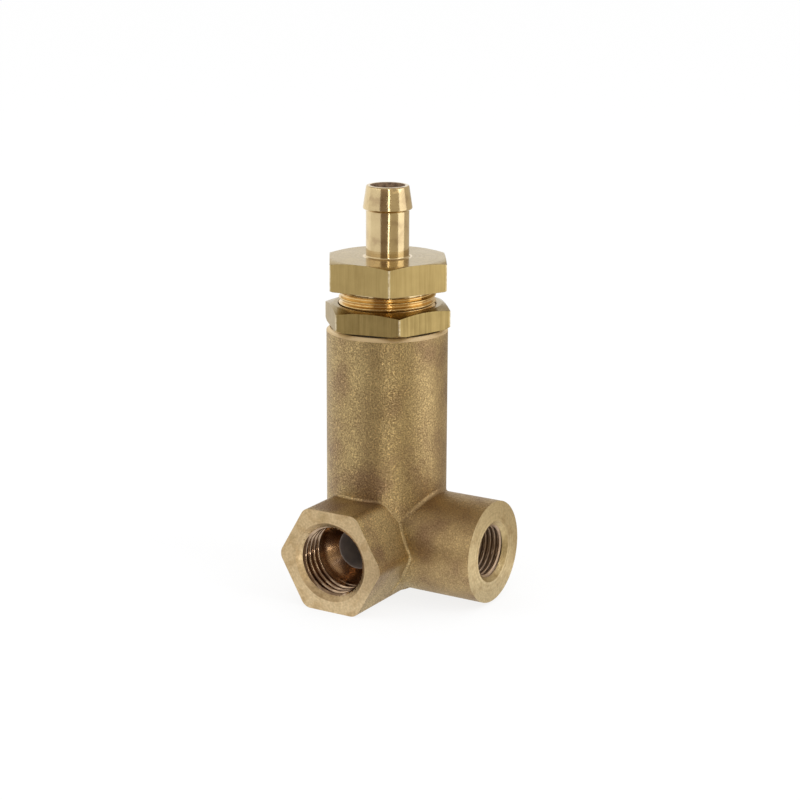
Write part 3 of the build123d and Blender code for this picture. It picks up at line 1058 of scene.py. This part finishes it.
def card(name, first, last, colour, strength=1.0, inner=0.03, outer=0.5, rise=0.3, level=0.3 * MM, lift=1.7):
    """A part of a ring on the floor with a wall behind it, between two azimuths counted from the camera."""
    made = start_point(name)
    start = view_az + radians(first) - pi / 2
    outward = Vector((cos(start), sin(start), 0))
    bpy.ops.transform.translate(value=outward * inner + Vector((0, 0, level)))
    bpy.ops.mesh.extrude_region_move(TRANSFORM_OT_translate={"value": outward * (outer - inner)})
    bpy.ops.mesh.extrude_region_move(TRANSFORM_OT_translate={"value": (0, 0, rise)})
    bpy.ops.object.mode_set(mode="OBJECT")
    sweep = made.modifiers.new("Sweep", "SCREW")
    sweep.angle = radians(last - first)
    sweep.steps = sweep.render_steps = card_steps
    bpy.ops.object.modifier_apply(modifier=sweep.name)
    finish_card(made, colour, strength, lift)


# %% Reflection cards
ceiling_height, ceiling_r = 0.36, 0.55
card("card_dark", -37, 1.5, (0.23, 0.175, 0.13))
card("card_edge", 1.7, 4.9, (0.50, 0.45, 0.36))
card("card_slit", 5.0, 7.8, (1.0, 0.97, 0.92), 5.5)
card("card_mid", 8.0, 58, (0.48, 0.42, 0.31))
card("card_bright", 58.5, 97, (1.0, 0.98, 0.94), 1.4)
card("card_far", 97.5, 170, (0.58, 0.52, 0.43), lift=1.0)
card("card_side", -100, -38, (0.84, 0.81, 0.76))
card("card_back", -180, -100, (1.0, 0.98, 0.95), lift=1.0)
card("card_near", -9, 12, (1.0, 0.97, 0.92), 11.0, inner=0.0368, outer=0.0402, rise=0.3 * MM, level=0.6 * MM)
bpy.ops.object.select_all(action="DESELECT")
bpy.ops.mesh.primitive_circle_add(vertices=48, radius=ceiling_r, fill_type="NGON",
                                  location=(0, 0, ceiling_height))
ceiling = bpy.context.object
ceiling.name = "card_ceiling"
bpy.ops.object.transform_apply(location=True)
finish_card(ceiling, (0.51, 0.45, 0.38), 1.0, 1.0)

# %% [markdown]
# The world's light comes evenly from all round and makes a casting look flat. So two weak soft boxes stand to
# the sides of the camera, the right one higher and stronger.

# %% Lamps
lamp_aim = Vector((0, 0, 0.035))


def lamp(name, azimuth, elevation, reach, width, height, power):
    """A soft box that looks at the valve. Azimuth 0 is at the camera, positive to its right."""
    turned = view_az + radians(azimuth)
    rise = radians(elevation)
    towards = Vector((sin(turned) * cos(rise), -cos(turned) * cos(rise), sin(rise)))
    data = bpy.data.lights.new(name, "AREA")
    data.shape = "RECTANGLE"
    data.size, data.size_y, data.energy = width, height, power
    made = bpy.data.objects.new(name, data)
    bpy.context.scene.collection.objects.link(made)
    made.location = lamp_aim + towards * reach
    made.rotation_euler = towards.to_track_quat("Z", "Y").to_euler()
    print(name, "at", [round(value, 2) for value in made.location])


lamp("lamp_right", 62, 38, reach=0.7, width=0.3, height=0.4, power=1.2)
lamp("lamp_left", -75, 30, reach=0.8, width=0.4, height=0.5, power=0.8)

# %% [markdown]
# ## Finish
#
# The picture uses the Standard view transform.

# %% Finish
bpy.context.scene.view_settings.view_transform = "Standard"
